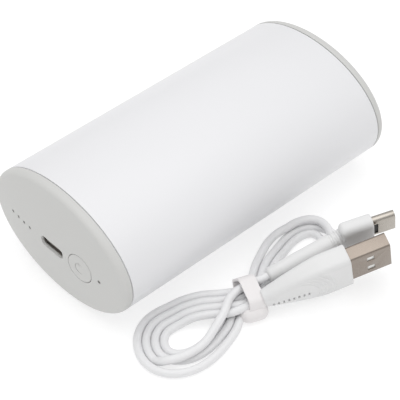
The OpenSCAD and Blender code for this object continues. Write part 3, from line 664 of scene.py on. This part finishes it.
# Barrel: an oval tube of extruded aluminium, sprayed with a satin white coat. Its cut ends are broken, and
# the two caps plug into it.
body_w, body_h, barrel_len, barrel_wall = 56, 37, 94, 1.5
half_w, half_h, axis_z = body_w / 2, body_h / 2, body_h / 2
seal_t = 0.3
seam_y = barrel_len / 2 + seal_t
axis_place = Matrix.Translation(Vector((0, 0, axis_z)) * mm)
edge, edge_share = 0.06, 0.3
barrel_ring = 256


def wall_ring(inset, y):
    """A ring of the oval, this far inside its outer surface."""
    return (half_w - inset, half_h - inset, y)


barrel_end = barrel_len / 2
end_rings = [
    (barrel_wall / 2, barrel_end), (edge, barrel_end), (edge * edge_share, barrel_end - edge * edge_share),
    (0, barrel_end - edge),
]
barrel = loft(
    [wall_ring(inset, -y) for inset, y in end_rings] + [wall_ring(0, 0)]
    + [wall_ring(inset, y) for inset, y in reversed(end_rings)], barrel_ring,
)
bore_end = barrel_end + overrun
cut(barrel, loft([wall_ring(barrel_wall, -bore_end), wall_ring(barrel_wall, bore_end)], barrel_ring))
settle(barrel, axis_place)
# Polyester powder coat, sprayed and baked: satin, with the slight orange peel that breaks up its gloss.
powder_coat = moulded_material("polyester_powder_coat", "#E2E2E4", 0.42, 0.7, 0.004, tone=0.01, coat=0.05)
dress(barrel, "barrel_coated", powder_coat, "warmer", "barrel_shell")

# Caps: moulded in warm light grey ABS with a fine satin texture. Each has a rounded rim and a shallow
# crown, and a spigot that presses into the barrel behind a thin seal.
cap_h, cap_fillet, crown_r, cap_wall = 4.8, 2.2, 165, 2
spigot_wall, spigot_len, fit_gap, hollow_rim = 1.5, 4, 0.1, 0.5
crown_rings, rim_rings, crown_start = 22, 12, 0.2


def dome_heights(reach, height, rim, crown):
    """Outline of a domed face: (distance from the middle, height over the seam), from the middle outwards."""
    spread = math.asin((reach - rim) / (crown - rim))
    rim_h = height - crown + math.sqrt((crown - rim) ** 2 - (reach - rim) ** 2)
    start = crown_start / crown
    crown_angles = [start + (spread - start) * k / crown_rings for k in range(crown_rings + 1)]
    outline = [(crown * math.sin(a), height - crown + crown * math.cos(a)) for a in crown_angles]
    for k in range(1, rim_rings + 1):
        a = (math.radians(90) - spread) * (1 - k / rim_rings)
        outline.append((reach - rim + rim * math.cos(a), rim_h + rim * math.sin(a)))
    return outline


def cap_solid(side):
    """One cap as a closed shell: crown, rim, seam face, spigot and hollow."""
    spigot = (half_w - barrel_wall - fit_gap, half_h - barrel_wall - fit_gap)
    hollow = (spigot[0] - spigot_wall, spigot[1] - spigot_wall)
    outer = dome_heights(half_w, cap_h, cap_fillet, crown_r)
    stations = [(r, r * half_h / half_w, side * (seam_y + h)) for r, h in outer]
    stations += [
        (half_w, half_h, side * (seam_y + edge)), (half_w - edge, half_h - edge, side * seam_y),
        (*spigot, side * seam_y), (*spigot, side * (seam_y - spigot_len)),
        (*hollow, side * (seam_y - spigot_len)),
    ]
    inner = dome_heights(hollow[0], cap_h - cap_wall, hollow_rim, crown_r - cap_wall)
    stations += [(r, r * hollow[1] / hollow[0], side * (seam_y + h)) for r, h in reversed(inner)]
    return loft(stations)


# ABS from a spark-eroded tool: an even satin. Its grain is a tenth of a millimetre, and drawn twice as coarse
# so that it shows.
cap_abs = moulded_material("abs_spark_textured", "#C9C9C7", 0.5, 0.2, 0.006, tone=0.02)
rear_cap = cap_solid(1)
settle(rear_cap, axis_place)
dress(rear_cap, "rear_cap_moulded", cap_abs, "warmer", "rear_cap")
# Seals of moulded silicone rubber: soft and matt. Painted light: they are a lighter grey than the caps, so
# that the shaded gap at each seam does not show as a dark line.
seal_silicone_painted_light = moulded_material("silicone_rubber_moulded", "#E4E4E2", 0.6, 0.5, 0.005, tone=0.03)
paint_node("front_seal", seal_silicone_painted_light)
paint_node("rear_seal", seal_silicone_painted_light)

# Front cap: the same moulding with the charging slot in the middle, the button's hole beside it, one light
# hole past the button and four on the other side.
usb_w, usb_h, socket_room = 8.94, 3.16, 0.14
button_x, button_r, button_gap = 11.3, 4.35, 0.2
status_x, dot_r, dot_room, dot_ring = 18.6, 0.45, 0.05, 24
dots_x, dot_step, dot_count = 9.9, 2.75, 4
dots = [-dots_x - dot_step * k for k in range(dot_count)]
hole_break, rim_depth, rim_left, rim_right = 0.12, 3, -7, 17
front_cap = cap_solid(-1)
hole_low, hole_high = -seam_y - cap_h - overrun, -seam_y + overrun
slot_high, slot_round = spigot_len - seam_y + overrun, usb_h / 2 - socket_room
cut(front_cap, square_bar(
    usb_w + 2 * socket_room, usb_h + 2 * socket_room, hole_low, slot_high, slot_round, 8,
))
cut(front_cap, round_bar(button_x, 0, button_r + button_gap, hole_low, hole_high))
for x in dots:
    cut(front_cap, round_bar(x, 0, dot_r + dot_room, hole_low, hole_high, dot_ring))
cut(front_cap, round_bar(status_x, 0, dot_r + 2 * dot_room, hole_low, hole_high, dot_ring))


def is_hole_rim(e):
    """Edges where the crown meets the slot or the button's hole."""
    return is_rim(e) and all(
        v.co.y < (-seam_y - rim_depth) * mm and rim_left * mm < v.co.x < rim_right * mm for v in e.verts
    )


bevel_edges(front_cap, is_hole_rim, hole_break)
settle(front_cap, axis_place)
dress(front_cap, "front_cap_moulded", cap_abs, "warmer", "front_cap")

# Power button: moulded in the caps' plastic, its top flush with the crown and its edge rounded. The power
# sign is a shallow groove: a ring, open at the top, with a bar in the gap.
button_t, button_round, button_rim_depth = 2.4, 0.15, 3.5
sign_r, sign_w, sign_depth, sign_gap, sign_steps = 1.6, 0.3, 0.1, 40, 40
sign_bar_h, sign_bar_corner = 1.3, 0.1
button = round_bar(button_x, 0, button_r, hole_low, button_t - seam_y - cap_h)
cut(button, cap_solid(-1), "INTERSECT")
button_rim_y = (-seam_y - button_rim_depth) * mm
bevel_edges(button, lambda e: is_rim(e) and e.verts[0].co.y < button_rim_y, button_round, 3)
sign_face = -seam_y - cap_h + crown_r - math.sqrt(crown_r ** 2 - button_x ** 2)
bpy.ops.object.select_all(action="DESELECT")
bpy.ops.mesh.primitive_plane_add(size=1, location=(sign_r * mm, 0, 0))
sign = bpy.context.object
sign.scale = (sign_w * mm, 4 * sign_depth * mm, 1)
bpy.ops.object.transform_apply(location=True, scale=True)
bpy.ops.object.mode_set(mode="EDIT")
bpy.ops.mesh.select_all(action="SELECT")
bpy.ops.transform.rotate(value=math.radians(90 - sign_gap), orient_axis="Y", center_override=(0, 0, 0))
bpy.ops.mesh.spin(steps=sign_steps, angle=math.radians(360 - 2 * sign_gap), center=(0, 0, 0), axis=(0, 1, 0))
bpy.ops.mesh.select_all(action="SELECT")
bpy.ops.mesh.normals_make_consistent(inside=False)
bpy.ops.object.mode_set(mode="OBJECT")
sign_height = sign_face - sign_depth
settle(sign, Matrix.Translation(Vector((button_x, sign_height, 0)) * mm))
cut(button, sign)
sign_bar = square_bar(sign_w, sign_bar_h, -2 * sign_depth, 2 * sign_depth, sign_bar_corner, 3)
settle(sign_bar, Matrix.Translation(Vector((button_x, sign_height, sign_r)) * mm))
cut(button, sign_bar)
settle(button, axis_place)
dress(button, "power_button_cap", cap_abs, "button", "power_button")
paint_node("switch_plunger", dark_nylon)
paint_node("switch_body", dark_nylon)

# Lights: each shines through a rod of smoked clear plastic that ends just under the crown, so that it looks
# like a small grey dot while it is off. The lamps stand on the board behind the rods, cast in clear epoxy.
smoke_size = 1.5
smoked_acrylic, smoked_shader = plain_material("smoked_acrylic_moulded", Roughness=0.3)
smoke_tree = smoked_acrylic.node_tree
smoke_place = add_node(smoke_tree, "ShaderNodeTexCoord").outputs["Object"]
smoke = add_node(
    smoke_tree, "ShaderNodeTexNoise", {"Vector": smoke_place}, Scale=1 / (smoke_size * mm), Detail=2,
)
smoke_tint = add_node(smoke_tree, "ShaderNodeMix", {"Factor": smoke.outputs["Fac"]}, data_type="RGBA")
smoke_tint.inputs[6].default_value = hex_colour("#5E5C59")
smoke_tint.inputs[7].default_value = hex_colour("#74726E")
smoke_tree.links.new(smoke_tint.outputs[2], smoked_shader.inputs["Base Color"])
paint_node("battery_light_guide", smoked_acrylic)
paint_node("status_light_guide", smoked_acrylic)
lamp_epoxy = moulded_material("clear_epoxy_cast", "#E8E2C4", 0.15, 0.4, 0.002, tone=0.05)
paint_node("battery_lights", lamp_epoxy)
paint_node("status_light", lamp_epoxy)

# Charging socket: a drawn steel shell with rounded ends, set back behind the slot, round a tongue of
# glass-filled nylon. The shell is satin and the tongue is matt. Both colours hold painted light: the shell is
# lighter than its bare steel and the tongue is a light grey, so that the shaded inside of the deep slot comes
# out light grey.
socket_steel_painted_light = bare_metal("drawn_steel_satin", "#D2CFCB", 0.35, 0.2, 0.002, 0.08)
paint_node("usb_socket_shell", socket_steel_painted_light)
tongue_nylon_painted_light = moulded_material("glass_filled_nylon_grey", "#9A9793", 0.5, 0.3, 0.004, tone=0.1)
paint_node("usb_socket_tongue", tongue_nylon_painted_light)

# Circuit board: woven glass and epoxy under a glossy green solder mask, on the cradle's rails with zinc-plated
# screws. It carries a matt black chip, a coil in pressed ferrite, four tan ceramic capacitors and a small
# temperature sensor dipped in brown epoxy.
solder_mask = moulded_material("epoxy_solder_mask", "#12532B", 0.3, 0.35, 0.006, tone=0.12, coat=0.3)
paint_node("main_board", solder_mask)
paint_node("control_chip", moulded_material("epoxy_moulded_black", "#1D1D1E", 0.5, 0.2, 0.004, tone=0.15))
paint_node("power_inductor", moulded_material("ferrite_pressed", "#37363A", 0.6, 0.25, 0.01, tone=0.15))
paint_node("capacitors", moulded_material("ceramic_fired", "#A98B66", 0.35, 0.3, 0.003, tone=0.1))
paint_node("thermistor", moulded_material("epoxy_dipped", "#6C4327", 0.3, 0.5, 0.01, tone=0.1))
paint_node("board_screws", bare_metal("zinc_plated_steel", "#A9ABAD", 0.32, 0.2, 0.002, 0.08))

# Heat: a printed film heater lies against the inside of the barrel above and below, glossy and amber as
# polyimide is. Strips of soft grey foam press it there, and white silicone leads run from the board to it.
heater_film = moulded_material("polyimide_film", "#B9691C", 0.28, 1.2, 0.004, tone=0.12, coat=0.4)
paint_node("heater_film_upper", heater_film)
paint_node("heater_film_lower", heater_film)
pad_foam = moulded_material("silicone_foam_open", "#3B3B3D", 0.85, 0.6, 0.06, tone=0.25)
paint_node("foam_pad_upper", pad_foam)
paint_node("foam_pad_lower", pad_foam)
paint_node("heater_wires", moulded_material("silicone_wire_cover_white", "#E6E3DD", 0.5, 0.6, 0.01, tone=0.03))

# Battery: two steel cells in glossy blue shrink wrap, side by side in a two-part cradle of cream natural ABS,
# joined by rolled nickel strips. A fuse lies between them, red silicone leads run to the board, and a foam pad
# at the far end keeps the cells from rattling.
cradle_abs = moulded_material("abs_natural_moulded", "#DDD8C6", 0.5, 0.4, 0.006, tone=0.03)
paint_node("cradle_upper", cradle_abs)
paint_node("cradle_lower", cradle_abs)
shrink_wrap = moulded_material("pvc_shrink_wrap", "#1F4E86", 0.3, 2.5, 0.01, tone=0.06, coat=0.3)
paint_node("cell_left", shrink_wrap)
paint_node("cell_right", shrink_wrap)
strip_nickel = bare_metal("nickel_strip_rolled", "#B9B4AB", 0.3, 0.3, 0.002, 0.06)
paint_node("cell_link_front", strip_nickel)
paint_node("cell_link_rear", strip_nickel)
paint_node("thermal_fuse", strip_nickel)
paint_node("battery_wires", moulded_material("silicone_wire_cover_red", "#A3261F", 0.45, 0.6, 0.01, tone=0.06))
paint_node("end_pad", pad_foam)

# The lead is put together as one piece that is free of the warmer. Its cord leaves the large plug, ends in the
# small one, and carries both plugs and the tie.
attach(cord, "charging_lead")
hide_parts("lead_cord")
